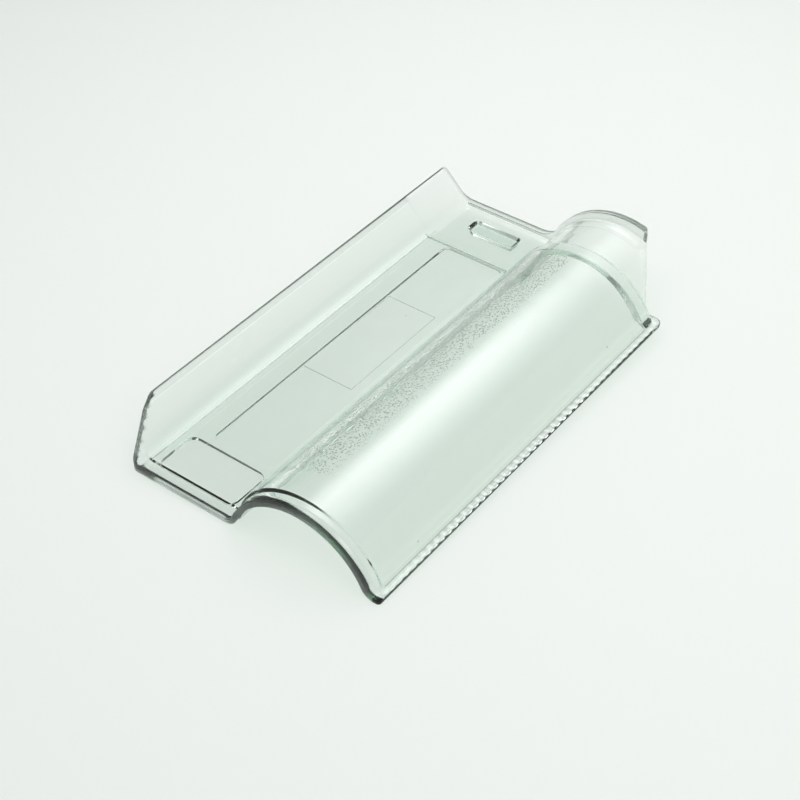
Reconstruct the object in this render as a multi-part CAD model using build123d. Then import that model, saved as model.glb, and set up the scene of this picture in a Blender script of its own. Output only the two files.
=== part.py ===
from build123d import *
from math import cos, radians, sin, sqrt, tan
import os

# Pressed glass roof tile, millimetres.
# Working frame: X runs from the upturned side wall to the barrel, Y from the
# tail (the lower, showing end) to the head (the end that is lapped over), and
# Z = 0 is the underside of the pan. The finished tile is then laid down on the
# three places it rests on and centred over the origin.

# Overall
TILE_LENGTH = 450.0
GLASS = 7.0

# Upturned side wall
WALL_FOOT_X = -17.7
WALL_HEIGHT = 29.0
WALL_LEAN = 45.0
WALL_ROOT_RADIUS = 24.0
WALL_ROOT_CREASE = 12.0
RIM_ROUNDING = 2.0

# Barrel
BARREL_AXIS_X = 148.0
BARREL_AXIS_Z = -15.5
BARREL_RADIUS = 72.0
BARREL_GLASS = 7.8
BARREL_ROOT_RADIUS = 3.0
BARREL_MOUTH_RADIUS = 14.0

# Lip along the free edge of the barrel
LIP_WIDTH = 6.6
LIP_THICKNESS = 4.5
LIP_UNDERSIDE_Z = 5.0
LIP_INNER_RADIUS = 12.0
LIP_END_ROUNDING = 7.5

# Flutes across the underside of the lip
FLUTE_COUNT = 43
FLUTE_PITCH = 8.7
FLUTE_START = 19.0
FLUTE_WIDTH = 6.4
FLUTE_DEPTH = 1.0

# Border strip at the tail
BORDER_LENGTH = 13.0
BORDER_DROP = 2.0
BORDER_ROOT_RADIUS = 8.0

# Recess under the tail of the pan, which takes the head rib of the tile below
POCKET_START = 13.0
POCKET_LENGTH = 42.0
POCKET_LEFT = -5.0
POCKET_RIGHT = 73.0
POCKET_DEPTH = 2.5
POCKET_CORNER = 8.0

# Lap at the head, stepped down so that the next tile lies over it
LAP_LENGTH = 62.0
LAP_DROP = 3.5
LAP_WALL_RELIEF = 4.3
NECK_AXIS_X = 144.5
NECK_RADIUS = 65.5
STEP_RUN = 2.0
UNDER_STEP_LEAD = 8.0
HEAD_RIB_WIDTH = 8.0
HEAD_RIB_DROP = 0.7
HEAD_RIB_ROOT_RADIUS = 20.0

# Nib under the head, which hooks over the batten
NIB_LEFT = 5.0
NIB_WIDTH = 49.0
NIB_LENGTH = 16.0
NIB_DEPTH = 8.0
NIB_SETBACK = 18.0
NIB_CORNER = 4.0
NIB_DRAFT = 12.0

# Bare sunk panel in the underside of the pan
PANEL_LEFT = 10.0
PANEL_START = 172.0
PANEL_WIDTH = 52.0
PANEL_LENGTH = 117.0
PANEL_DEPTH = 0.6
PANEL_CORNER = 1.0

# Shallow relief of the underside of the pan between its two roots
RELIEF_LEFT = 8.0
RELIEF_RIGHT = 74.0
RELIEF_START = 60.0
RELIEF_END = 378.0
RELIEF_DEPTH = 0.6
RELIEF_SLOPE_RUN = 3.0
RELIEF_CORNER = 8.0

# Two opposite corners cut off, seen from above
TAIL_CUT_LENGTH = 52.0
TAIL_CUT_ROUNDING = 14.0
TAIL_FOOT_ROUNDING = 7.0
HEAD_CUT_INNER_X = 170.0
HEAD_CUT_OUTER_X = 204.0
LIP_END_SETBACK = 53.0
HEAD_CUT_ROUNDING = 5.0

# Soft upper edges: a sloping edge at each end and a rounded one along the lip
END_SLOPE = 1.0
LIP_EDGE_ROUNDING = 1.0

# Reach of the two die blocks past the tile, and of a cutter past its face
SPARE = 30.0
SLIVER = 1.0


def arc_reach(axis_z, radius, z):
    """Half the width of a round surface at the height z."""
    return sqrt(radius**2 - (z - axis_z) ** 2)


def lip_outer_x():
    """Outer edge of the lip, a lip's width past the barrel."""
    return BARREL_AXIS_X + arc_reach(BARREL_AXIS_Z, BARREL_RADIUS, LIP_UNDERSIDE_Z + LIP_THICKNESS) + LIP_WIDTH


def upper_face(pan_z, wall_relief, axis_x, radius, root_radius):
    """Section of everything under the tile's upper surface, with a deep base."""
    lean = radians(WALL_LEAN)
    slant = GLASS / sin(lean)
    rim_outer = WALL_FOOT_X - WALL_HEIGHT / (sin(lean) / cos(lean))
    rim_inner = rim_outer + slant - wall_relief / sin(lean)
    crease = radians(WALL_ROOT_CREASE)
    root_run = WALL_ROOT_RADIUS * (sin(lean) - sin(crease))
    root_rise = WALL_ROOT_RADIUS * (cos(crease) - cos(lean))
    wall_x_at_pan = rim_inner + (WALL_HEIGHT - pan_z) * cos(lean) / sin(lean)
    root_x = wall_x_at_pan - root_rise * cos(lean) / sin(lean) + root_run
    start = (root_x - root_run, pan_z + root_rise)
    middle_angle = (lean + crease) / 2
    middle = (
        start[0] + WALL_ROOT_RADIUS * (sin(lean) - sin(middle_angle)),
        start[1] - WALL_ROOT_RADIUS * (cos(middle_angle) - cos(lean)),
    )
    flank_x = axis_x - arc_reach(BARREL_AXIS_Z, radius, pan_z)
    lip_z = LIP_UNDERSIDE_Z + LIP_THICKNESS
    lip_x = axis_x + arc_reach(BARREL_AXIS_Z, radius, lip_z)
    outer_x = lip_outer_x()
    with BuildSketch() as sketch:
        with BuildLine():
            Polyline((outer_x, lip_z), (outer_x, -SPARE), (rim_outer, -SPARE), (rim_outer, WALL_HEIGHT))
            Polyline((rim_outer, WALL_HEIGHT), (rim_inner, WALL_HEIGHT), start)
            ThreePointArc(start, middle, (root_x, pan_z))
            Line((root_x, pan_z), (flank_x, pan_z))
            ThreePointArc((flank_x, pan_z), (axis_x, BARREL_AXIS_Z + radius), (lip_x, lip_z))
            Line((lip_x, lip_z), (outer_x, lip_z))
        make_face()
        root = sketch.vertices().sort_by_distance((flank_x, pan_z))[0]
        fillet(root, root_radius)
        rim = sketch.vertices().sort_by_distance((rim_inner, WALL_HEIGHT))[0]
        fillet(rim, RIM_ROUNDING)
        nose = sketch.vertices().sort_by_distance((rim_outer, WALL_HEIGHT))[0]
        fillet(nose, RIM_ROUNDING)
        lip = sketch.vertices().sort_by_distance((outer_x, lip_z))[0]
        fillet(lip, LIP_EDGE_ROUNDING)
    return sketch.sketch.faces()[0]


def under_face(pan_z, axis_x, radius):
    """Section of everything under the tile's lower surface."""
    lean = radians(WALL_LEAN)
    wall_top = WALL_HEIGHT + SPARE
    wall_top_x = WALL_FOOT_X - wall_top * cos(lean) / sin(lean)
    foot_x = WALL_FOOT_X - pan_z * cos(lean) / sin(lean)
    flank_x = axis_x - arc_reach(BARREL_AXIS_Z, radius, pan_z)
    lip_x = axis_x + arc_reach(BARREL_AXIS_Z, radius, LIP_UNDERSIDE_Z)
    far_x = BARREL_AXIS_X + BARREL_RADIUS + SPARE
    with BuildSketch() as sketch:
        with BuildLine():
            Polyline((far_x, LIP_UNDERSIDE_Z), (far_x, -2 * SPARE), (wall_top_x, -2 * SPARE))
            Polyline((wall_top_x, -2 * SPARE), (wall_top_x, wall_top), (foot_x, pan_z), (flank_x, pan_z))
            ThreePointArc((flank_x, pan_z), (axis_x, BARREL_AXIS_Z + radius), (lip_x, LIP_UNDERSIDE_Z))
            Line((lip_x, LIP_UNDERSIDE_Z), (far_x, LIP_UNDERSIDE_Z))
        make_face()
        mouth = sketch.vertices().sort_by_distance((flank_x, pan_z))[0]
        fillet(mouth, BARREL_MOUTH_RADIUS)
        lip = sketch.vertices().sort_by_distance((lip_x, LIP_UNDERSIDE_Z))[0]
        fillet(lip, LIP_INNER_RADIUS)
    return sketch.sketch.faces()[0]


def at(face, y):
    """Stand a section up at the distance y from the tail."""
    return Plane.XZ.offset(-y) * face


def run(face, start, end):
    """Carry a section along the tile from start to end."""
    return extrude(at(face, start), amount=start - end)


def upper_block():
    """The glass from above: border, showing part, step, lap and head rib."""
    border_z = GLASS - BORDER_DROP
    border_radius = BARREL_RADIUS - BORDER_DROP
    rib_z = GLASS - HEAD_RIB_DROP
    edge_radius = BARREL_RADIUS - END_SLOPE
    main = upper_face(GLASS, 0, BARREL_AXIS_X, BARREL_RADIUS, BARREL_ROOT_RADIUS)
    border = upper_face(border_z, 0, BARREL_AXIS_X, border_radius, BORDER_ROOT_RADIUS)
    tail = upper_face(
        border_z - END_SLOPE,
        END_SLOPE,
        BARREL_AXIS_X,
        border_radius - END_SLOPE,
        BORDER_ROOT_RADIUS,
    )
    lap = upper_face(GLASS - LAP_DROP, LAP_WALL_RELIEF, NECK_AXIS_X, NECK_RADIUS, BARREL_ROOT_RADIUS)
    rib = upper_face(rib_z, LAP_WALL_RELIEF, BARREL_AXIS_X, BARREL_RADIUS, HEAD_RIB_ROOT_RADIUS)
    head = upper_face(
        rib_z - END_SLOPE,
        LAP_WALL_RELIEF,
        BARREL_AXIS_X,
        edge_radius,
        HEAD_RIB_ROOT_RADIUS,
    )
    step = TILE_LENGTH - LAP_LENGTH
    rib_start = TILE_LENGTH - HEAD_RIB_WIDTH
    rib_end = TILE_LENGTH - END_SLOPE
    block = loft([at(tail, 0), at(border, END_SLOPE)])
    block += run(border, END_SLOPE, BORDER_LENGTH)
    block += run(main, BORDER_LENGTH, step)
    block += loft([at(main, step), at(lap, step + STEP_RUN)])
    block += run(lap, step + STEP_RUN, rib_start)
    block += run(rib, rib_start, rib_end)
    block += loft([at(rib, rib_end), at(head, TILE_LENGTH)])
    return block


def lower_block():
    """The hollow side: pan, barrel and the stepped underside of the lap."""
    main = under_face(0, BARREL_AXIS_X, BARREL_RADIUS - BARREL_GLASS)
    lap = under_face(-LAP_DROP, NECK_AXIS_X, NECK_RADIUS - BARREL_GLASS)
    step = TILE_LENGTH - LAP_LENGTH - UNDER_STEP_LEAD
    block = run(main, -SPARE, step)
    block += loft([at(main, step), at(lap, step + STEP_RUN)])
    block += run(lap, step + STEP_RUN, TILE_LENGTH + SPARE)
    return block


def sunk(left, width, start, length, depth, corner):
    """A round-cornered recess cut up into the underside of the pan."""
    with BuildSketch(Plane.XY) as sketch:
        with Locations((left + width / 2, start + length / 2)):
            RectangleRounded(width, length, corner)
    return extrude(sketch.sketch, amount=depth)


def pan_relief():
    """The shallow sunk field of the pan's underside, with sloping sides."""
    width = RELIEF_RIGHT - RELIEF_LEFT
    length = RELIEF_END - RELIEF_START
    centre = (RELIEF_LEFT + width / 2, RELIEF_START + length / 2)
    slope = 2 * RELIEF_SLOPE_RUN
    with BuildPart() as field:
        with BuildSketch(Plane.XY):
            with Locations(centre):
                RectangleRounded(width, length, RELIEF_CORNER)
        with BuildSketch(Plane.XY.offset(RELIEF_DEPTH)):
            with Locations(centre):
                RectangleRounded(width - slope, length - slope, RELIEF_CORNER - RELIEF_SLOPE_RUN)
        loft()
    return field.part


def flutes():
    """The row of round-bottomed flutes cut across the underside of the lip."""
    half = FLUTE_WIDTH / 2
    radius = (half**2 + FLUTE_DEPTH**2) / (2 * FLUTE_DEPTH)
    outer_x = lip_outer_x()
    reach = LIP_WIDTH + LIP_THICKNESS
    tool = Rotation(0, 90, 0) * Cylinder(radius, reach)
    z = LIP_UNDERSIDE_Z + FLUTE_DEPTH - radius
    x = outer_x + SLIVER - reach / 2
    return [Pos(x, FLUTE_START + FLUTE_PITCH * i, z) * tool for i in range(FLUTE_COUNT)]


def nib():
    """The drafted lug that hooks over the batten."""
    floor = -LAP_DROP
    centre = (NIB_LEFT + NIB_WIDTH / 2, TILE_LENGTH - NIB_SETBACK - NIB_LENGTH / 2)
    with BuildSketch(Plane.XY.offset(floor)) as sketch:
        with Locations(centre):
            RectangleRounded(NIB_WIDTH, NIB_LENGTH, NIB_CORNER)
    return extrude(sketch.sketch, amount=-NIB_DEPTH, taper=NIB_DRAFT)


def tail_corner():
    """Plan cutter for the corner between the tail and the side wall."""
    reach = TAIL_CUT_LENGTH
    rim_outer = WALL_FOOT_X - WALL_HEIGHT
    with BuildSketch(Plane.XY.offset(-SPARE)) as sketch:
        with BuildLine():
            Polyline(
                (0, -SPARE),
                (0, 0),
                (WALL_FOOT_X, 0),
                (rim_outer, reach),
                (rim_outer, 2 * reach),
                (rim_outer - SPARE, 2 * reach),
                (rim_outer - SPARE, -SPARE),
                close=True,
            )
        make_face()
        bend = sketch.vertices().sort_by_distance((rim_outer, reach))[0]
        fillet(bend, TAIL_CUT_ROUNDING)
        foot = sketch.vertices().sort_by_distance((WALL_FOOT_X, 0))[0]
        fillet(foot, TAIL_FOOT_ROUNDING)
    return extrude(sketch.sketch, amount=4 * SPARE)


def head_corner():
    """Plan cutter for the corner between the head and the lip."""
    lip_end = TILE_LENGTH - LIP_END_SETBACK
    outer_x = lip_outer_x()
    far_x = outer_x + SPARE
    with BuildSketch(Plane.XY.offset(-SPARE)) as sketch:
        with BuildLine():
            Polyline(
                (HEAD_CUT_INNER_X, TILE_LENGTH + SPARE),
                (HEAD_CUT_INNER_X, TILE_LENGTH),
                (HEAD_CUT_OUTER_X, lip_end),
                (outer_x, lip_end),
                (outer_x, lip_end - SPARE),
                (far_x, lip_end - SPARE),
                (far_x, TILE_LENGTH + SPARE),
                close=True,
            )
        make_face()
        bend = sketch.vertices().sort_by_distance((HEAD_CUT_OUTER_X, lip_end))[0]
        fillet(bend, HEAD_CUT_ROUNDING)
        lip_corner = sketch.vertices().sort_by_distance((outer_x, lip_end))[0]
        fillet(lip_corner, LIP_END_ROUNDING)
    return extrude(sketch.sketch, amount=4 * SPARE)


def pressed_tile():
    """The whole tile in its working frame."""
    tile = upper_block() - lower_block()
    pocket_width = POCKET_RIGHT - POCKET_LEFT
    panel_depth = RELIEF_DEPTH + PANEL_DEPTH
    tile -= sunk(POCKET_LEFT, pocket_width, POCKET_START, POCKET_LENGTH, POCKET_DEPTH, POCKET_CORNER)
    tile -= pan_relief()
    tile -= sunk(PANEL_LEFT, PANEL_WIDTH, PANEL_START, PANEL_LENGTH, panel_depth, PANEL_CORNER)
    tile -= flutes()
    tile += nib()
    tile -= tail_corner()
    tile -= head_corner()
    return tile


def floor_plane():
    """Plane through the three places the tile rests on: tail, lip and nib."""
    flank_x = BARREL_AXIS_X - arc_reach(BARREL_AXIS_Z, BARREL_RADIUS - BARREL_GLASS, 0)
    pan_edge = flank_x - BARREL_MOUTH_RADIUS
    nib_inset = NIB_DEPTH * tan(radians(NIB_DRAFT)) + NIB_CORNER / 4
    tail_foot = Vector(pan_edge, 0, 0)
    lip_foot = Vector(lip_outer_x(), 0, LIP_UNDERSIDE_Z)
    nib_foot = Vector(
        NIB_LEFT + NIB_WIDTH - nib_inset,
        TILE_LENGTH - NIB_SETBACK - NIB_LENGTH + nib_inset,
        -LAP_DROP - NIB_DEPTH,
    )
    across = lip_foot - tail_foot
    return Plane(tail_foot, x_dir=across, z_dir=across.cross(nib_foot - tail_foot))


def main():
    os.makedirs("parts", exist_ok=True)
    tile = floor_plane().location.inverse() * pressed_tile()
    box = tile.bounding_box()
    centre = box.center()
    tile = Pos(-centre.X, -centre.Y, -box.min.Z) * tile
    export_step(tile, "parts/glass_tile.step")


main()
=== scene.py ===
"""Looks of the pressed glass roof tile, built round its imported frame.

The tile is drawn in its own working frame in millimetres: X runs from the
upturned side wall to the barrel, Y from the tail to the head, and Z = 0 is the
underside of the pan. At the end it is laid on the floor as the frame's tile is.
"""

import math

import bmesh
import bpy
from mathutils import Matrix, Vector, noise


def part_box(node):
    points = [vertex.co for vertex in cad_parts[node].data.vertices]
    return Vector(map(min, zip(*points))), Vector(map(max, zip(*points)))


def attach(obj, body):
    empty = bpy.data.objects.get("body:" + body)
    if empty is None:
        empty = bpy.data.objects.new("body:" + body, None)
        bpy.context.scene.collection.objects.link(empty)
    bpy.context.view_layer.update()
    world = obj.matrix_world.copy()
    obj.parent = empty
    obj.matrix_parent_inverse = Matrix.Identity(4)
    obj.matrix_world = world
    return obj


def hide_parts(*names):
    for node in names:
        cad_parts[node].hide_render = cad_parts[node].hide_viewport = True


MM = 0.001

# Overall
TILE_LENGTH = 450.0
GLASS = 7.0

# Upturned side wall
WALL_FOOT_X = -17.7
WALL_HEIGHT = 29.0
WALL_LEAN = math.radians(45.0)
WALL_ROOT_RADIUS = 24.0
WALL_ROOT_CREASE = math.radians(12.0)
WALL_FOOT_ROUNDING = 5.0
RIM_ROUNDING = 2.0
RIM_BLUNTING = 0.6

# Barrel
BARREL_AXIS_X = 148.0
BARREL_AXIS_Z = -15.5
BARREL_RADIUS = 72.0
BARREL_GLASS = 7.8
BARREL_ROOT_RADIUS = 3.0
BARREL_MOUTH_RADIUS = 14.0

# Lip along the free edge of the barrel
LIP_WIDTH = 6.6
LIP_THICKNESS = 4.5
LIP_UNDERSIDE_Z = 5.0
LIP_ROOT_RADIUS = 0.8
LIP_INNER_RADIUS = 12.0

# Flutes across the underside of the lip
FLUTE_COUNT = 43
FLUTE_PITCH = 8.7
FLUTE_START = 19.0
FLUTE_WIDTH = 6.4
FLUTE_DEPTH = 0.3
FLUTE_REACH = 10.0
FLUTE_END_GAP = 1.5
FLUTE_END_RUN = 2.5
FLUTE_CLEAREST_Y = 170.0
FLUTE_FAINTEST = 0.25

# Border strip at the tail
BORDER_LENGTH = 13.0
BORDER_DROP = 2.0
BORDER_ROOT_RADIUS = 8.0

# Lap at the head, stepped down under the next tile
LAP_LENGTH = 62.0
LAP_DROP = 3.5
LAP_WALL_RELIEF = 4.3
NECK_AXIS_X = 144.5
NECK_RADIUS = 65.5
STEP_RUN = 2.0
UNDER_STEP_LEAD = 8.0
HEAD_RIB_WIDTH = 8.0
HEAD_RIB_DROP = 0.7
HEAD_RIB_ROOT_RADIUS = 20.0
STEP_SOFTNESS = 2.2

# Level part of the pan's underside, up to the barrel's mouth
PAN_LEVEL_END = 74.9

# Recess under the tail of the pan
POCKET = dict(left=-5.0, right=73.0, start=13.0, end=55.0, corner=8.0)
POCKET_DEPTH = 3.2
POCKET_ROUNDING = 0.15

# Shallow relief and the bare sunk panel in the underside of the pan
RELIEF = dict(left=8.0, right=74.0, start=60.0, end=378.0, corner=8.0)
RELIEF_DEPTH = 0.9
RELIEF_SLOPE_RUN = 3.2
PANEL = dict(left=10.0, right=62.0, start=172.0, end=289.0, corner=1.0)
PANEL_DEPTH = 0.6
PANEL_ROUNDING = 0.1
RECESS_WALL_RUN = 0.1

# Nib that hooks over the batten
NIB = dict(left=5.0, right=54.0, start=416.0, end=432.0, corner=4.0)
NIB_DEPTH = 8.0
NIB_DRAFT = math.radians(12.0)
NIB_ROUNDING = 1.6

# Plan outline
TAIL_CUT_LENGTH = 52.0
TAIL_CUT_ROUNDING = 14.0
TAIL_FOOT_ROUNDING = 7.0
HEAD_CUT_INNER_X = 170.0
HEAD_CUT_OUTER_X = 204.0
HEAD_CUT_ROUNDING = 5.0
LIP_END_SETBACK = 53.0
LIP_END_ROUNDING = 7.5
CORNER_ROUNDING = 3.0
EDGE_ROUNDING = 1.0

# Narrow strips that hold the shading flat: by a recess's edge and on the cut sides
SUPPORT = 0.25
SIDE_STRIP = 0.2
# Room left round a recess when the level underside is joined into one face
SURROUND = 2.2

# Spacing of the lines across the tile, and the least gap between the lines along it
LENGTH_PITCH = 8
WIDTH_GAP = 0.45
CREASE_GAP = 0.4

# Slow waves that pressing leaves in the upper face
WAVE_HEIGHT = 0.10
WAVE_LENGTH = 60.0

# Fine creases that the die's joints leave at the wall's foot and at the lip's root, with painted
# shade along them
WALL_CREASE = dict(depth=0.35, half=0.5, shade=0.55)
LIP_CREASE = dict(depth=0.6, half=0.9, shade=0.9)
LIP_CREASE_SHIFT = 0.6

# Painted shade of the flutes on the clearest stretch of the lip
FLUTE_PAINTED_SHADE = 0.5

# Stipple under the barrel's left flank, by angle from its crown in degrees
GRAIN_FROM = -38.0
GRAIN_TO = -12.0
GRAIN_FADE = 8.0
GRAIN_START = 40.0
# Painted shade over the stipple, strongest in the middles of its pits
STIPPLE_PAINTED_SHADE = 0.6

# Painted shade on the underside of the same flank, by angle as well: where it rises and falls
# away
FLANK_PAINTED_SHADE = 0.2
FLANK_RISE = (-75.0, 15.0)
FLANK_FALL = (-38.0, 34.0)

# Textures of the glass: scale, and height of the bump in metres
WAVE_BUMP = dict(scale=45.0, height=0.0002)
STIPPLE_BUMP = dict(scale=600.0, height=0.00016)
PINHOLE_BUMP = dict(scale=40.0, height=0.0006)
STIPPLE_DOT = 0.45
PINHOLE_SIZE = 0.028

# Glass: colours, roughness of the cut sides, and bounces after which light leaves it
CLEAR_COLOUR = (0.985, 0.99, 0.985, 1)
# Painted shade colour: the glass turns towards it along the creases, the flutes, the barrel's
# left flank and the stipple's pits
PAINTED_SHADE_COLOUR = (0.05, 0.08, 0.06, 1)
PASSING_COLOUR = (0.91, 0.932, 0.918, 1)
TINT_COLOUR = (0.35, 0.72, 0.50, 1)
TINT_DENSITY = 8.0
SATIN_ROUGHNESS = 0.45
GLASS_IOR = 1.5
TRAPPED_AFTER = 7.5

# Surroundings, in metres
TABLE_RADIUS = 1.9
COVE_RADIUS = 0.5
BACKDROP_HEIGHT = 1.6
TABLE_GAP = 0.0005
TABLE_COLOUR = (0.872, 0.899, 0.874)
ROOM_COLOUR = (0.46, 0.463, 0.461, 1)

# Camera: where it stands as seen from the point it looks at
VIEW_AIM = Vector((6.8, -31.0, 0.2)) * MM
VIEW_DISTANCE = 1372.0 * MM
VIEW_AZIMUTH = math.radians(37.45)
VIEW_ELEVATION = math.radians(39.37)
VIEW_ROLL = math.radians(-0.82)
VIEW_LENS = 75.8


def arch_height(x, axis_x, radius, left, right):
    """Height of a round arch that runs out into a level strip on each side.

    left and right are (height of the strip, radius of the fillet into it).
    """
    level, fillet = right if x > axis_x else left
    reach = math.sqrt((radius + fillet) ** 2 - (level + fillet - BARREL_AXIS_Z) ** 2)
    away = abs(x - axis_x)
    if away >= reach:
        return level
    if away <= reach * radius / (radius + fillet):
        return BARREL_AXIS_Z + math.sqrt(radius**2 - away**2)
    return level + fillet - math.sqrt(fillet**2 - (reach - away) ** 2)


def wall_inner_height(x, pan_z, relief):
    """Height of the rim and the inner side of the side wall, or None past its root."""
    sine, cosine = math.sin(WALL_LEAN), math.cos(WALL_LEAN)
    rim_outer = WALL_FOOT_X - WALL_HEIGHT * cosine / sine
    rim_inner = rim_outer + (GLASS - relief) / sine
    root_run = WALL_ROOT_RADIUS * (sine - math.sin(WALL_ROOT_CREASE))
    root_rise = WALL_ROOT_RADIUS * (math.cos(WALL_ROOT_CREASE) - cosine)
    root_start = rim_inner + (WALL_HEIGHT - pan_z - root_rise) * cosine / sine
    root_x = root_start + root_run
    if x >= root_x:
        return None
    if x >= root_start:
        centre_x = root_x + WALL_ROOT_RADIUS * math.sin(WALL_ROOT_CREASE)
        centre_z = pan_z + WALL_ROOT_RADIUS * math.cos(WALL_ROOT_CREASE)
        return centre_z - math.sqrt(WALL_ROOT_RADIUS**2 - (centre_x - x) ** 2)
    slope = WALL_HEIGHT - (x - rim_inner) * sine / cosine
    half_turn = RIM_ROUNDING * math.tan(WALL_LEAN / 2)
    if x <= rim_inner - half_turn:
        return WALL_HEIGHT
    if x <= rim_inner - half_turn + RIM_ROUNDING * sine:
        drop = RIM_ROUNDING - math.sqrt(RIM_ROUNDING**2 - (x - rim_inner + half_turn) ** 2)
        return WALL_HEIGHT - drop
    return slope


def upper_section(x, pan_z, relief, axis_x, radius, root_radius):
    """Height of the tile's upper surface at x, in one of its zones."""
    wall = wall_inner_height(x, pan_z, relief)
    if wall is not None:
        return wall
    lip_z = LIP_UNDERSIDE_Z + LIP_THICKNESS
    return arch_height(x, axis_x, radius, (pan_z, root_radius), (lip_z, LIP_ROOT_RADIUS))


def lower_section(x, pan_z, axis_x, radius):
    """Height of the tile's lower surface at x, in one of its zones."""
    foot_x = WALL_FOOT_X - pan_z / math.tan(WALL_LEAN)
    centre_x = foot_x + WALL_FOOT_ROUNDING * math.tan(WALL_LEAN / 2)
    if x < centre_x - WALL_FOOT_ROUNDING * math.sin(WALL_LEAN):
        return pan_z + (foot_x - x) * math.tan(WALL_LEAN)
    if x < centre_x:
        return pan_z + WALL_FOOT_ROUNDING - math.sqrt(WALL_FOOT_ROUNDING**2 - (centre_x - x) ** 2)
    left = (pan_z, BARREL_MOUTH_RADIUS)
    right = (LIP_UNDERSIDE_Z, LIP_INNER_RADIUS)
    return arch_height(x, axis_x, radius, left, right)


def soft_step(y, start, run):
    """0 before start, 1 after start + run, and a smooth rise between them."""
    t = min(max((y - start) / run, 0.0), 1.0)
    return t * t * (3 - 2 * t)


def waves(x, y, seed):
    """The slow unevenness of one pressed face."""
    return WAVE_HEIGHT * noise.noise(Vector((x / WAVE_LENGTH, y / WAVE_LENGTH, seed)))


def wall_crease_x():
    """Where the inner side of the wall meets the pan, on the main stretch."""
    sine, cosine = math.sin(WALL_LEAN), math.cos(WALL_LEAN)
    rim_inner = WALL_FOOT_X - WALL_HEIGHT * cosine / sine + GLASS / sine
    rise = WALL_ROOT_RADIUS * (math.cos(WALL_ROOT_CREASE) - cosine)
    run = WALL_ROOT_RADIUS * (sine - math.sin(WALL_ROOT_CREASE))
    return rim_inner + (WALL_HEIGHT - GLASS - rise) * cosine / sine + run


def creases():
    """The fine creases of the main stretch: place across, depth, half width and painted shade."""
    lip_x = lip_outer_x() - LIP_WIDTH + LIP_CREASE_SHIFT
    return [(wall_crease_x(), WALL_CREASE), (lip_x, LIP_CREASE)]


def crease_depth(x):
    """Depth of the fine creases in the main stretch of the upper surface."""
    total = 0.0
    for centre, shape in creases():
        off = min(abs(x - centre) / shape["half"], 1.0)
        total += shape["depth"] * (1 - off**2) ** 2
    return total


def crease_painted_shade(x, y):
    """How much painted shade the creases of the upper surface get, from 0 to 1."""
    if not BORDER_LENGTH + STEP_SOFTNESS < y < TILE_LENGTH - LAP_LENGTH:
        return 0.0
    shade = 0.0
    for centre, shape in creases():
        shade += shape["shade"] * max(1 - abs(x - centre) / (0.67 * shape["half"]), 0.0)
    return shade


def upper_height(x, y):
    """Height of the upper surface, all along the tile."""
    step = TILE_LENGTH - LAP_LENGTH
    rib_start = TILE_LENGTH - HEAD_RIB_WIDTH
    on_main = soft_step(y, BORDER_LENGTH - STEP_SOFTNESS / 2, STEP_SOFTNESS)
    on_lap = soft_step(y, step, STEP_RUN)
    on_rib = soft_step(y, rib_start - STEP_SOFTNESS / 2, STEP_SOFTNESS)
    height = 0.0
    if on_main < 1:
        radius = BARREL_RADIUS - BORDER_DROP
        pan_z = GLASS - BORDER_DROP
        border = upper_section(x, pan_z, 0, BARREL_AXIS_X, radius, BORDER_ROOT_RADIUS)
        height += border * (1 - on_main)
    if on_main > 0 and on_lap < 1:
        main = upper_section(x, GLASS, 0, BARREL_AXIS_X, BARREL_RADIUS, BARREL_ROOT_RADIUS)
        height += (main - crease_depth(x)) * (on_main - on_lap)
    if on_lap > 0 and on_rib < 1:
        pan_z = GLASS - LAP_DROP
        axis_x, radius = NECK_AXIS_X, NECK_RADIUS
        lap = upper_section(x, pan_z, LAP_WALL_RELIEF, axis_x, radius, BARREL_ROOT_RADIUS)
        height += lap * (on_lap - on_rib)
    if on_rib > 0:
        pan_z = GLASS - HEAD_RIB_DROP
        axis_x, radius = BARREL_AXIS_X, BARREL_RADIUS
        rib = upper_section(x, pan_z, LAP_WALL_RELIEF, axis_x, radius, HEAD_RIB_ROOT_RADIUS)
        height += rib * on_rib
    return height + waves(x, y, 0.3)


def flute_share(x, y):
    """How much of a flute there is: 1 on its axis, 0 beside it and past its end."""
    half = FLUTE_WIDTH / 2
    place = (y - FLUTE_START) / FLUTE_PITCH
    away = abs(place - round(place)) * FLUTE_PITCH
    if not -0.5 < place < FLUTE_COUNT - 0.5 or away >= half:
        return 0.0
    radius = (half**2 + FLUTE_DEPTH**2) / (2 * FLUTE_DEPTH)
    hollow = 1 - (radius - math.sqrt(radius**2 - away**2)) / FLUTE_DEPTH
    ended = soft_step(x, lip_outer_x() - FLUTE_END_GAP - FLUTE_END_RUN, FLUTE_END_RUN)
    faint = soft_step(abs(y - FLUTE_CLEAREST_Y), 40, 110) * (1 - FLUTE_FAINTEST)
    return hollow * (1 - ended) * (1 - faint)


def flute_painted_shade(x, y):
    """How much painted shade the flutes get, from 0 to 1: beneath the lip only."""
    if x < lip_outer_x() - LIP_WIDTH:
        return 0.0
    return FLUTE_PAINTED_SHADE * soft_step(flute_share(x - FLUTE_END_GAP, y), 0, 0.7)


def lower_height(x, y):
    """Height of the lower surface, without the recesses and the nib."""
    step = TILE_LENGTH - LAP_LENGTH - UNDER_STEP_LEAD
    on_lap = soft_step(y, step, STEP_RUN)
    height = 0.0
    if on_lap < 1:
        height += lower_section(x, 0, BARREL_AXIS_X, BARREL_RADIUS - BARREL_GLASS) * (1 - on_lap)
    if on_lap > 0:
        height += lower_section(x, -LAP_DROP, NECK_AXIS_X, NECK_RADIUS - BARREL_GLASS) * on_lap
    if x > lip_outer_x() - FLUTE_REACH:
        height = max(height, LIP_UNDERSIDE_Z + FLUTE_DEPTH * flute_share(x, y))
    return height


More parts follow.
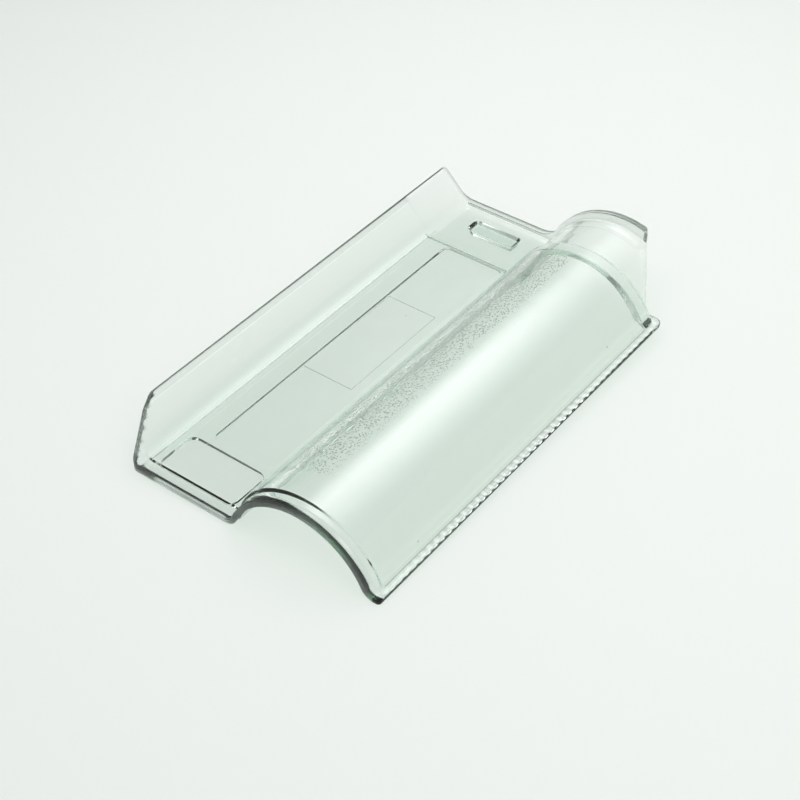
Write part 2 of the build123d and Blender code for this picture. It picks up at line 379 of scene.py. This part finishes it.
def lip_outer_x():
    """Outer edge of the lip, a lip's width past the barrel."""
    rise = LIP_UNDERSIDE_Z + LIP_THICKNESS - BARREL_AXIS_Z
    return BARREL_AXIS_X + math.sqrt(BARREL_RADIUS**2 - rise**2) + LIP_WIDTH


def plan_corners():
    """Corners of the plan outline with their rounding radii, anticlockwise."""
    rim_x = WALL_FOOT_X - WALL_HEIGHT / math.tan(WALL_LEAN) + RIM_BLUNTING
    lip_end = TILE_LENGTH - LIP_END_SETBACK
    return [
        (WALL_FOOT_X, 0, TAIL_FOOT_ROUNDING),
        (lip_outer_x(), 0, CORNER_ROUNDING),
        (lip_outer_x(), lip_end, LIP_END_ROUNDING),
        (HEAD_CUT_OUTER_X, lip_end, HEAD_CUT_ROUNDING),
        (HEAD_CUT_INNER_X, TILE_LENGTH, CORNER_ROUNDING),
        (rim_x, TILE_LENGTH, CORNER_ROUNDING),
        (rim_x, TAIL_CUT_LENGTH, TAIL_CUT_ROUNDING),
    ]


def round_corner(bm, corner, radius):
    """Rounds one corner of a flat outline."""
    one, two = (e.other_vert(corner).co - corner.co for e in corner.link_edges)
    tangent = radius / math.tan(one.angle(two) / 2)
    bmesh.ops.bevel(
        bm,
        geom=[corner],
        offset=tangent,
        segments=6,
        profile=0.5,
        material=-1,
        affect="VERTICES",
    )


def plan_face(bm):
    """The plan outline as one flat face with rounded corners."""
    corners = plan_corners()
    verts = [bm.verts.new((x, y, 0)) for x, y, radius in corners]
    bm.faces.new(verts)
    for vert, (x, y, radius) in zip(verts, corners):
        round_corner(bm, vert, radius)
    bm.faces.ensure_lookup_table()
    return bm.faces[0]


def edge_steps():
    """Distances from the outline of the lines that carry its rounded edge."""
    turns = [math.radians(a) for a in (0, 25, 47, 68, 90)]
    return [EDGE_ROUNDING * (1 - math.cos(a)) for a in turns] + [1.5 * EDGE_ROUNDING]


def length_lines():
    """Places along Y where the surface needs a line across it."""
    step = TILE_LENGTH - LAP_LENGTH
    rib = TILE_LENGTH - HEAD_RIB_WIDTH
    lines = [LENGTH_PITCH * i for i in range(1, 56)]
    for start, run in (
        (BORDER_LENGTH - STEP_SOFTNESS / 2, STEP_SOFTNESS),
        (step, STEP_RUN),
        (step - UNDER_STEP_LEAD, STEP_RUN),
        (rib - STEP_SOFTNESS / 2, STEP_SOFTNESS),
    ):
        lines = [y for y in lines if not start - 1.5 < y < start + run + 1.5]
        lines += [start + run * i / 6 for i in range(-1, 8)]
    return lines


def width_lines():
    """Places across X where the surface needs a line along it."""
    rim_x = WALL_FOOT_X - WALL_HEIGHT / math.tan(WALL_LEAN)
    lines = [rim_x + GLASS / math.sin(WALL_LEAN) - 3 + 0.5 * i for i in range(9)]
    lines += [-44, -41]
    lines += [-35 + 2.5 * i for i in range(14)]
    lines += [WALL_FOOT_X - 2 + i for i in range(6)]
    lines += [0.0, 5, 14, 20, 26, 32, 38, 44, 50, 56, 62, 67, 71]
    turn = math.radians(3)
    for radius in (BARREL_RADIUS, BARREL_RADIUS - BARREL_GLASS):
        lines += [BARREL_AXIS_X + radius * math.sin(turn * i) for i in range(-24, 24)]
    lines += [73 + i for i in range(8)]
    lines += [205.0 + i for i in range(16)]
    fine = []
    for centre, shape in creases():
        fine += [centre + shape["half"] * i / 3 for i in range(-4, 5)]
    kept = []
    for x in sorted(lines):
        clear = all(abs(x - other) > CREASE_GAP for other in fine)
        if clear and (not kept or x - kept[-1] > WIDTH_GAP):
            kept.append(x)
    return kept + fine


def cut(bm, faces, place, normal):
    """Cuts faces along a plane and returns what they have become."""
    geom = set(faces)
    for f in faces:
        geom.update(f.edges)
        geom.update(f.verts)
    found = bmesh.ops.bisect_plane(
        bm, geom=list(geom), dist=0.002, plane_co=place, plane_no=normal
    )
    return [g for g in found["geom"] if isinstance(g, bmesh.types.BMFace)]


def level_face(bm, height, left, right, start, end):
    """Joins the level faces of the underside in a rectangle into one face."""
    faces = []
    for f in bm.faces:
        centre = f.calc_center_median()
        level = all(abs(v.co.z - height) < 0.001 for v in f.verts)
        if level and left - 30 < centre.x < right + 30 and start - 30 < centre.y < end + 30:
            faces.append(f)
    for place, inward in (
        ((left, 0, 0), Vector((1, 0, 0))),
        ((right, 0, 0), Vector((-1, 0, 0))),
        ((0, start, 0), Vector((0, 1, 0))),
        ((0, end, 0), Vector((0, -1, 0))),
    ):
        faces = cut(bm, faces, place, inward)
        faces = [f for f in faces if (f.calc_center_median() - Vector(place)).dot(inward) > 0]
    return bmesh.ops.dissolve_faces(bm, faces=faces, use_verts=False)["region"][0]


def set_in(bm, face, left, right, start, end, corner, margin=0.0):
    """Cuts a round-cornered rectangle out of a level face, and returns it."""
    radius = corner + margin
    chord = math.radians(15)
    for x, y, turn in (
        (right - corner, end - corner, 0),
        (left + corner, end - corner, 90),
        (left + corner, start + corner, 180),
        (right - corner, start + corner, 270),
    ):
        lines = [(math.radians(turn), radius)]
        for i in range(6):
            angle = math.radians(turn) + chord * (i + 0.5)
            lines.append((angle, radius * math.cos(chord / 2)))
        for angle, away in lines:
            outward = Vector((math.cos(angle), math.sin(angle), 0))
            place = Vector((x, y, 0)) + outward * away
            pieces = cut(bm, [face], place, outward)
            face = min(pieces, key=lambda f: (f.calc_center_median() - place).dot(outward))
    return face


def sink(bm, face, profile):
    """Moves a level face up or down, along a profile of (inset, rise) points."""
    inset_before, rise_before = 0.0, 0.0
    for inset, rise in profile:
        bmesh.ops.inset_region(
            bm, faces=[face], thickness=inset - inset_before, use_even_offset=True
        )
        for v in face.verts:
            v.co.z += rise - rise_before
        inset_before, rise_before = inset, rise
    return face


def wall_profile(depth, run, rounding):
    """Points (inset, rise) of a recess wall with its two edges rounded."""
    quarter = []
    for i in range(4):
        turn = math.radians(30 * i)
        quarter.append((rounding * math.sin(turn), rounding * (1 - math.cos(turn))))
    foot = SUPPORT + 2 * rounding + run
    points = [(SUPPORT + inset, rise) for inset, rise in quarter]
    points += [(foot - inset, depth - rise) for inset, rise in reversed(quarter)]
    return points + [(foot + SUPPORT, depth)]


def distance_to_edge(x, y, outline):
    """Distance in plan from a point to the outline."""
    point = Vector((x, y))
    best = 1e9
    for a, b in zip(outline, outline[1:] + outline[:1]):
        along = b - a
        t = min(max((point - a).dot(along) / along.length_squared, 0.0), 1.0)
        best = min(best, (point - a - along * t).length)
    return best


def rounded_back(thickness, away):
    """How far a face draws back near the outline, so that the edge is round."""
    radius = min(EDGE_ROUNDING, 0.48 * thickness)
    if away >= radius:
        return 0.0
    return radius - math.sqrt(radius**2 - (radius - away) ** 2)


def around(shape):
    """The rectangle a little outside a round-cornered shape."""
    return dict(
        left=shape["left"] - SURROUND,
        right=min(shape["right"] + SURROUND, PAN_LEVEL_END),
        start=shape["start"] - SURROUND,
        end=shape["end"] + SURROUND,
    )


def on_tail_cut(face):
    """Whether a strip of the rounded edge belongs to the slanting cut at the tail."""
    centre = face.calc_center_median()
    middle = Vector((WALL_FOOT_X - WALL_HEIGHT / 2, TAIL_CUT_LENGTH / 2, 0))
    return (centre - middle).length < WALL_HEIGHT / 3


def hold_sides(bm, upright):
    """Gives the cut sides a narrow strip along each rim, so that they shade flat."""
    made = bmesh.ops.subdivide_edges(bm, edges=upright, cuts=2)
    inner = {v for v in made["geom_inner"] if isinstance(v, bmesh.types.BMVert)}
    for v in inner:
        rim = next(e.other_vert(v) for e in v.link_edges if e.other_vert(v) not in inner)
        strip = v.co.z - rim.co.z
        if abs(strip) > SIDE_STRIP:
            v.co.z = rim.co.z + math.copysign(SIDE_STRIP, strip)


def barrel_turn(x):
    """Angle from the barrel's crown in degrees, at most a quarter turn either way."""
    return math.degrees(math.asin(max(-1.0, min(1.0, (x - BARREL_AXIS_X) / BARREL_RADIUS))))


def grain_weight(x, y):
    """How strongly the underside is stippled: on the barrel's left flank only."""
    turn = barrel_turn(x)
    across = soft_step(turn, GRAIN_FROM - GRAIN_FADE, GRAIN_FADE)
    across *= 1 - soft_step(turn, GRAIN_TO, 2 * GRAIN_FADE)
    along = soft_step(y, GRAIN_START, GRAIN_FADE)
    end = TILE_LENGTH - LAP_LENGTH - UNDER_STEP_LEAD
    along *= 1 - soft_step(y, end - GRAIN_FADE, GRAIN_FADE)
    return across * along


def flank_painted_shade(x):
    """How much painted shade the underside of the barrel's left flank gets, from 0 to 1."""
    turn = barrel_turn(x)
    return FLANK_PAINTED_SHADE * soft_step(turn, *FLANK_RISE) * (1 - soft_step(turn, *FLANK_FALL))


def press(bm):
    """Gives the flat plan its two faces: the upper and the lower surface.

    The layers for the glass are made first, since a new one loses all handles.
    """
    for name in ("stipple_and_painted_shade", "satin", "shade"):
        bm.verts.layers.float.new(name)
    stipple_and_painted_shade, satin, shade = (bm.verts.layers.float[n] for n in ("stipple_and_painted_shade", "satin", "shade"))
    outline_face = plan_face(bm)
    outline = [v.co.to_2d() for v in outline_face.verts]
    before = 0.0
    for place in edge_steps()[1:]:
        bmesh.ops.inset_region(
            bm, faces=[outline_face], thickness=place - before, use_even_offset=True
        )
        before = place
    slanting = {f for f in bm.faces if f is not outline_face and on_tail_cut(f)}
    for y in length_lines():
        cut(bm, [f for f in bm.faces if f not in slanting], (0, y, 0), (0, 1, 0))
    for x in width_lines():
        cut(bm, bm.faces[:], (x, 0, 0), (1, 0, 0))
    strip = [f for f in bm.faces if f.calc_center_median().x > lip_outer_x() - FLUTE_REACH]
    for i in range(FLUTE_COUNT):
        for part in range(-3, 4):
            y = FLUTE_START + FLUTE_PITCH * i + FLUTE_WIDTH * part / 6
            strip = cut(bm, strip, (0, y, 0), (0, 1, 0))
    made = bmesh.ops.extrude_face_region(bm, geom=bm.faces[:], use_keep_orig=True)
    upper = {v for v in made["geom"] if isinstance(v, bmesh.types.BMVert)}
    # The shade layer holds painted shade: on the creases above, and under the flutes and the
    # barrel's left flank below
    for v in bm.verts:
        x, y = v.co.x, v.co.y
        if v in upper:
            v[shade] = crease_painted_shade(x, y)
        else:
            v[stipple_and_painted_shade] = grain_weight(x, y)
            v[shade] = max(flute_painted_shade(x, y), flank_painted_shade(x))
        top, bottom = upper_height(x, y), lower_height(x, y)
        back = 0.0
        away = distance_to_edge(x, y, outline)
        v[satin] = 1.0 if away < 0.5 * EDGE_ROUNDING and x < lip_outer_x() - LIP_WIDTH else 0.0
        if away < EDGE_ROUNDING:
            back = rounded_back(top - bottom, away)
        v.co.z = top - back if v in upper else bottom + back
    hold_sides(bm, [e for e in bm.edges if (e.verts[0] in upper) != (e.verts[1] in upper)])


def tile_mesh():
    """The whole tile in its working frame."""
    bm = bmesh.new()
    press(bm)
    pocket = set_in(bm, level_face(bm, 0, **around(POCKET)), **POCKET)
    sink(bm, pocket, wall_profile(POCKET_DEPTH, RECESS_WALL_RUN, POCKET_ROUNDING))
    relief = set_in(bm, level_face(bm, 0, **around(RELIEF)), **RELIEF)
    slope = []
    for i in range(7):
        slope.append((SUPPORT + RELIEF_SLOPE_RUN * i / 6, RELIEF_DEPTH * soft_step(i, 0, 6)))
    sink(bm, relief, slope + [(2 * SUPPORT + RELIEF_SLOPE_RUN, RELIEF_DEPTH)])
    panel = set_in(bm, relief, **PANEL)
    sink(bm, panel, wall_profile(PANEL_DEPTH, RECESS_WALL_RUN, PANEL_ROUNDING))
    nib = level_face(bm, -LAP_DROP, **around(NIB))
    nib = set_in(bm, nib, **NIB, margin=NIB_ROUNDING + SUPPORT)
    profile = wall_profile(NIB_DEPTH, NIB_DEPTH * math.tan(NIB_DRAFT), NIB_ROUNDING)
    sink(bm, nib, [(inset, -rise) for inset, rise in profile])
    bmesh.ops.recalc_face_normals(bm, faces=bm.faces)
    return bm


def floor_turn():
    """Turns the working frame so that tail, lip and nib stand on the floor."""
    inner = BARREL_RADIUS - BARREL_GLASS
    flank_x = BARREL_AXIS_X - math.sqrt(inner**2 - BARREL_AXIS_Z**2)
    nib_inset = NIB_DEPTH * math.tan(NIB_DRAFT) + NIB["corner"] / 4
    tail_foot = Vector((flank_x - BARREL_MOUTH_RADIUS, 0, 0))
    lip_foot = Vector((lip_outer_x(), 0, LIP_UNDERSIDE_Z))
    nib_foot = Vector((NIB["right"] - nib_inset, NIB["start"] + nib_inset, -LAP_DROP - NIB_DEPTH))
    across = (lip_foot - tail_foot).normalized()
    up = across.cross(nib_foot - tail_foot).normalized()
    return Matrix((across, up.cross(across), up)).to_4x4()


def lay_down(bm):
    """Turns, scales and centres the tile over the floor, inside the frame's box."""
    bmesh.ops.transform(bm, matrix=Matrix.Scale(MM, 4) @ floor_turn(), verts=bm.verts)
    low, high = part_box("glass_tile")
    own_low = Vector([min(v.co[i] for v in bm.verts) for i in range(3)])
    own_high = Vector([max(v.co[i] for v in bm.verts) for i in range(3)])
    shift = (low + high) / 2 - (own_low + own_high) / 2
    shift.z = low.z - own_low.z
    bmesh.ops.translate(bm, vec=shift, verts=bm.verts)


def put(links, value, socket):
    """Links an output into a socket, or writes a plain value there."""
    if isinstance(value, bpy.types.NodeSocket):
        links.new(value, socket)
    else:
        socket.default_value = value


def calc(nodes, links, operation, *values):
    """A math node over outputs and plain numbers."""
    node = nodes.new("ShaderNodeMath")
    node.operation = operation
    for value, socket in zip(values, node.inputs):
        put(links, value, socket)
    return node.outputs["Value"]


def attribute(nodes, name):
    """The value of one of the mesh's layers."""
    node = nodes.new("ShaderNodeAttribute")
    node.attribute_name = name
    return node.outputs["Fac"]


def smooth_map(nodes, links, value, start, end):
    """0 at start, 1 at end, and a smooth change between them."""
    node = nodes.new("ShaderNodeMapRange")
    node.interpolation_type = "SMOOTHSTEP"
    node.inputs["From Min"].default_value = start
    node.inputs["From Max"].default_value = end
    links.new(value, node.inputs["Value"])
    return node.outputs["Result"]


def cells(nodes, links, place, scale):
    """Distance to the nearest of many scattered points."""
    node = nodes.new("ShaderNodeTexVoronoi")
    node.inputs["Scale"].default_value = scale
    links.new(place, node.inputs["Vector"])
    return node.outputs["Distance"]


def bump(nodes, links, height, distance, below=None):
    """A bump of the given height in metres, laid over the bump below it."""
    node = nodes.new("ShaderNodeBump")
    node.inputs["Distance"].default_value = distance
    links.new(height, node.inputs["Height"])
    if below is not None:
        links.new(below, node.inputs["Normal"])
    return node.outputs["Normal"]


def pressed_surface(nodes, links):
    """Normal of the pressed faces, with soft waves, stipple and a few pinholes.

    Beside it comes the mask of painted shade: on the creases, the flutes, the
    flank of the barrel and the dots of the stipple.
    """
    place = nodes.new("ShaderNodeTexCoord").outputs["Object"]
    wave = nodes.new("ShaderNodeTexNoise")
    wave.inputs["Scale"].default_value = WAVE_BUMP["scale"]
    wave.inputs["Detail"].default_value = 1.0
    links.new(place, wave.inputs["Vector"])
    normal = bump(nodes, links, wave.outputs["Fac"], WAVE_BUMP["height"])

    weight = attribute(nodes, "stipple_and_painted_shade")
    stipple = cells(nodes, links, place, STIPPLE_BUMP["scale"])
    stipple = smooth_map(nodes, links, stipple, 0, STIPPLE_DOT)
    stipple_and_painted_shade = calc(nodes, links, "MULTIPLY", stipple, weight)
    normal = bump(nodes, links, stipple_and_painted_shade, STIPPLE_BUMP["height"], normal)
    # Painted shade over the stippled flank, kept only in the middles of the stipple's pits
    whole = calc(nodes, links, "MULTIPLY", weight, STIPPLE_PAINTED_SHADE)
    speck_painted_shade = calc(nodes, links, "MULTIPLY_ADD", stipple_and_painted_shade, -STIPPLE_PAINTED_SHADE, whole)
    painted_shade_mask = calc(nodes, links, "MAXIMUM", attribute(nodes, "shade"), speck_painted_shade)

    seeds = cells(nodes, links, place, PINHOLE_BUMP["scale"])
    pinhole = smooth_map(nodes, links, seeds, 0, PINHOLE_SIZE)
    return bump(nodes, links, pinhole, PINHOLE_BUMP["height"], normal), painted_shade_mask


def glass():
    """Clear pressed glass of a pale green cast, with painted shade mixed into its colour.

    Rays that light the floor pass straight through it, and so does light that
    has been thrown to and fro inside it for long.
    """
    material = bpy.data.materials.new("clear_pressed_glass")
    material.use_nodes = True
    nodes, links = material.node_tree.nodes, material.node_tree.links
    shader = nodes["Principled BSDF"]
    normal, painted_shade_mask = pressed_surface(nodes, links)
    colour = nodes.new("ShaderNodeMix")
    colour.data_type = "RGBA"
    # A mix node has a row of sockets per data type: 6, 7 and 2 are its colours
    # The glass colour turns towards the painted shade colour as far as the painted shade mask
    # reaches
    put(links, painted_shade_mask, colour.inputs[0])
    put(links, CLEAR_COLOUR, colour.inputs[6])
    put(links, PAINTED_SHADE_COLOUR, colour.inputs[7])
    put(links, colour.outputs[2], shader.inputs["Base Color"])
    dull = calc(nodes, links, "MULTIPLY", attribute(nodes, "satin"), SATIN_ROUGHNESS)
    put(links, dull, shader.inputs["Roughness"])
    put(links, GLASS_IOR, shader.inputs["IOR"])
    put(links, 1.0, shader.inputs["Transmission Weight"])
    put(links, normal, shader.inputs["Normal"])

    clear = nodes.new("ShaderNodeBsdfTransparent")
    clear.inputs["Color"].default_value = PASSING_COLOUR
    path = nodes.new("ShaderNodeLightPath")
    passes = calc(nodes, links, "GREATER_THAN", path.outputs["Ray Depth"], TRAPPED_AFTER)
    for ray in ("Is Shadow Ray", "Is Diffuse Ray"):
        passes = calc(nodes, links, "MAXIMUM", passes, path.outputs[ray])
    mix = nodes.new("ShaderNodeMixShader")
    links.new(passes, mix.inputs["Fac"])
    links.new(shader.outputs["BSDF"], mix.inputs[1])
    links.new(clear.outputs["BSDF"], mix.inputs[2])
    output = nodes["Material Output"]
    links.new(mix.outputs["Shader"], output.inputs["Surface"])
    tint = nodes.new("ShaderNodeVolumeAbsorption")
    tint.inputs["Color"].default_value = TINT_COLOUR
    tint.inputs["Density"].default_value = TINT_DENSITY
    links.new(tint.outputs["Volume"], output.inputs["Volume"])
    return material


def build_tile():
    """The glass tile, in place of the frame's own solid."""
    bm = tile_mesh()
    lay_down(bm)
    mesh = bpy.data.meshes.new("tile_glass")
    for f in bm.faces:
        f.smooth = True
    bm.to_mesh(mesh)
    bm.free()
    mesh.materials.append(glass())
    tile = bpy.data.objects.new("tile_glass", mesh)
    bpy.context.scene.collection.objects.link(tile)
    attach(tile, "root")
    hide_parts("glass_tile")


def matte(name, colour):
    """A plain surface without any shine."""
    material = bpy.data.materials.new(name)
    material.use_nodes = True
    shader = material.node_tree.nodes["Principled BSDF"]
    shader.inputs["Base Color"].default_value = (*colour, 1)
    shader.inputs["Roughness"].default_value = 1.0
    shader.inputs["Specular IOR Level"].default_value = 0.0
    return material


def build_floor():
    """A pale table top that curves up into a round backdrop."""
    bm = bmesh.new()
    outline = [(0, 0)]
    for i in range(9):
        angle = math.radians(90 / 8 * i)
        away = TABLE_RADIUS + COVE_RADIUS * math.sin(angle)
        outline.append((away, COVE_RADIUS - COVE_RADIUS * math.cos(angle)))
    outline.append((TABLE_RADIUS + COVE_RADIUS, BACKDROP_HEIGHT))
    verts = [bm.verts.new((x, 0, z)) for x, z in outline]
    for a, b in zip(verts, verts[1:]):
        bm.edges.new((a, b))
    bmesh.ops.spin(
        bm,
        geom=bm.verts[:] + bm.edges[:],
        cent=(0, 0, 0),
        axis=(0, 0, 1),
        angle=math.tau,
        steps=64,
        use_merge=True,
    )
    bmesh.ops.remove_doubles(bm, verts=bm.verts, dist=1e-5)
    bmesh.ops.recalc_face_normals(bm, faces=bm.faces)
    bmesh.ops.translate(bm, vec=(0, 0, -TABLE_GAP), verts=bm.verts)
    mesh = bpy.data.meshes.new("floor")
    for f in bm.faces:
        f.smooth = True
    bm.to_mesh(mesh)
    bm.free()
    mesh.materials.append(matte("pale_table", TABLE_COLOUR))
    floor = bpy.data.objects.new("floor", mesh)
    bpy.context.scene.collection.objects.link(floor)


def softbox(name, azimuth, elevation, distance, width, height, power, fades):
    """A rectangular area light that looks at the tile and fades towards its edges.

    fades are the parts of its width and height over which it fades: at the
    left and the right as the tile sees it, and at the top and the bottom.
    """
    light = bpy.data.lights.new(name, "AREA")
    light.shape = "RECTANGLE"
    light.size, light.size_y = width, height
    light.energy = power
    light.use_nodes = True
    nodes, links = light.node_tree.nodes, light.node_tree.links
    place = nodes.new("ShaderNodeNewGeometry")
    split = nodes.new("ShaderNodeSeparateXYZ")
    links.new(place.outputs["Parametric"], split.inputs["Vector"])
    left, right, ends = fades
    strength = 1.0
    for axis, start, end in (
        ("X", 0, left),
        ("X", 1, 1 - right),
        ("Y", 0, ends),
        ("Y", 1, 1 - ends),
    ):
        fade = smooth_map(nodes, links, split.outputs[axis], start, end)
        strength = calc(nodes, links, "MULTIPLY", strength, fade)
    links.new(strength, nodes["Emission"].inputs["Strength"])
    lamp = bpy.data.objects.new(name, light)
    bpy.context.scene.collection.objects.link(lamp)
    a, e = math.radians(azimuth), math.radians(elevation)
    away = Vector((math.cos(e) * math.cos(a), math.cos(e) * math.sin(a), math.sin(e)))
    lamp.location = away * distance
    lamp.rotation_euler = away.to_track_quat("Z", "Y").to_euler()


def build_lights():
    """Three softboxes and an even, pale room."""
    softbox(
        "softbox_head",
        azimuth=89,
        elevation=58,
        distance=1.5,
        width=1.9,
        height=1.3,
        power=28,
        fades=(0.7, 0.38, 0.45),
    )
    softbox(
        "softbox_right",
        azimuth=350,
        elevation=50,
        distance=1.6,
        width=1.2,
        height=1.2,
        power=16,
        fades=(0.45, 0.45, 0.45),
    )
    softbox(
        "overhead",
        azimuth=230,
        elevation=72,
        distance=1.7,
        width=1.3,
        height=1.3,
        power=20,
        fades=(0.45, 0.45, 0.45),
    )
    world = bpy.data.worlds.new("studio")
    world.use_nodes = True
    background = world.node_tree.nodes["Background"]
    background.inputs["Color"].default_value = ROOM_COLOUR
    background.inputs["Strength"].default_value = 1.0
    bpy.context.scene.world = world


def build_camera():
    """The camera of the photo."""
    camera = bpy.data.objects.new("camera", bpy.data.cameras.new("camera"))
    bpy.context.scene.collection.objects.link(camera)
    camera.data.lens = VIEW_LENS
    camera.data.sensor_width = 36
    turn = Matrix.Rotation(VIEW_AZIMUTH, 4, "Z") @ Matrix.Rotation(
        math.pi / 2 - VIEW_ELEVATION, 4, "X"
    )
    back = turn @ Vector((0, 0, VIEW_DISTANCE))
    roll = Matrix.Rotation(VIEW_ROLL, 4, "Z")
    camera.matrix_world = Matrix.Translation(VIEW_AIM + back) @ turn @ roll
    bpy.context.scene.camera = camera


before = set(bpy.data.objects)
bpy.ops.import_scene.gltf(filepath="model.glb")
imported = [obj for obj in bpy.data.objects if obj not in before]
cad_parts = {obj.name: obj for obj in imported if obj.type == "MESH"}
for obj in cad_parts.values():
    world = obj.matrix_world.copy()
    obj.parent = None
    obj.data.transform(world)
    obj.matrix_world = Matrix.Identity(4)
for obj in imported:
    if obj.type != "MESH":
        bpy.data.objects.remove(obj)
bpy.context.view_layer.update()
bpy.context.scene.view_settings.view_transform = "Standard"
build_tile()
build_floor()
build_lights()
build_camera()
